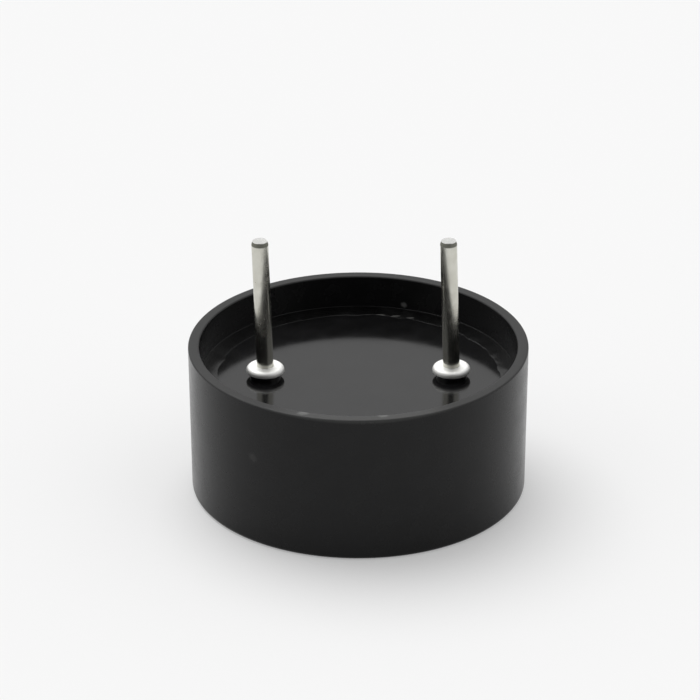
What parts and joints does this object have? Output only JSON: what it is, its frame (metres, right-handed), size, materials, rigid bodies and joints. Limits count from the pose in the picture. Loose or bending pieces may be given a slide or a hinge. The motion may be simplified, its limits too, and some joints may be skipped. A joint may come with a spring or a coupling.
{
  "type": "piezo buzzer",
  "caption": "Round black through-hole piezo buzzer: a moulded cup with a central sound port, an open rear recess, and slightly bent tinned pins on collared bosses.",
  "frame": {"origin": "middle of the sound face, which the part stands on", "axes": "+Z out of the rear recess along the pins, +X along the pin row, +Y across it"},
  "size_m": [0.0232, 0.0232, 0.0182],
  "materials": {
    "case_plastic": "satin black moulding",
    "plate_plastic": "satin black moulding",
    "sealant": "glossy cured sealant",
    "tinned_pin": "bright tin plating with fine drawing lines",
    "brass_disc": "rolled brass",
    "piezo_ceramic": "fired ceramic",
    "silver": "printed silver",
    "silicone": "cured silicone",
    "lead_wire": "bare copper wire",
    "red_jacket": "soft insulation",
    "black_jacket": "soft insulation",
    "solder": "dull solder"
  },
  "bodies": {
    "root": {"case": "case_plastic", "rear_plate": "plate_plastic", "rear_seal": "sealant", "pin_left": "tinned_pin", "pin_right": "tinned_pin", "diaphragm_plate": "brass_disc", "piezo_disc": "piezo_ceramic", "silver_face": "silver", "diaphragm_glue": "silicone", "face_lead_core": "lead_wire", "face_lead_jacket": "red_jacket", "plate_lead_core": "lead_wire", "plate_lead_jacket": "black_jacket", "face_solder": "solder", "plate_solder": "solder", "pin_left_solder": "solder", "pin_right_solder": "solder"}
  },
  "joints": []
}
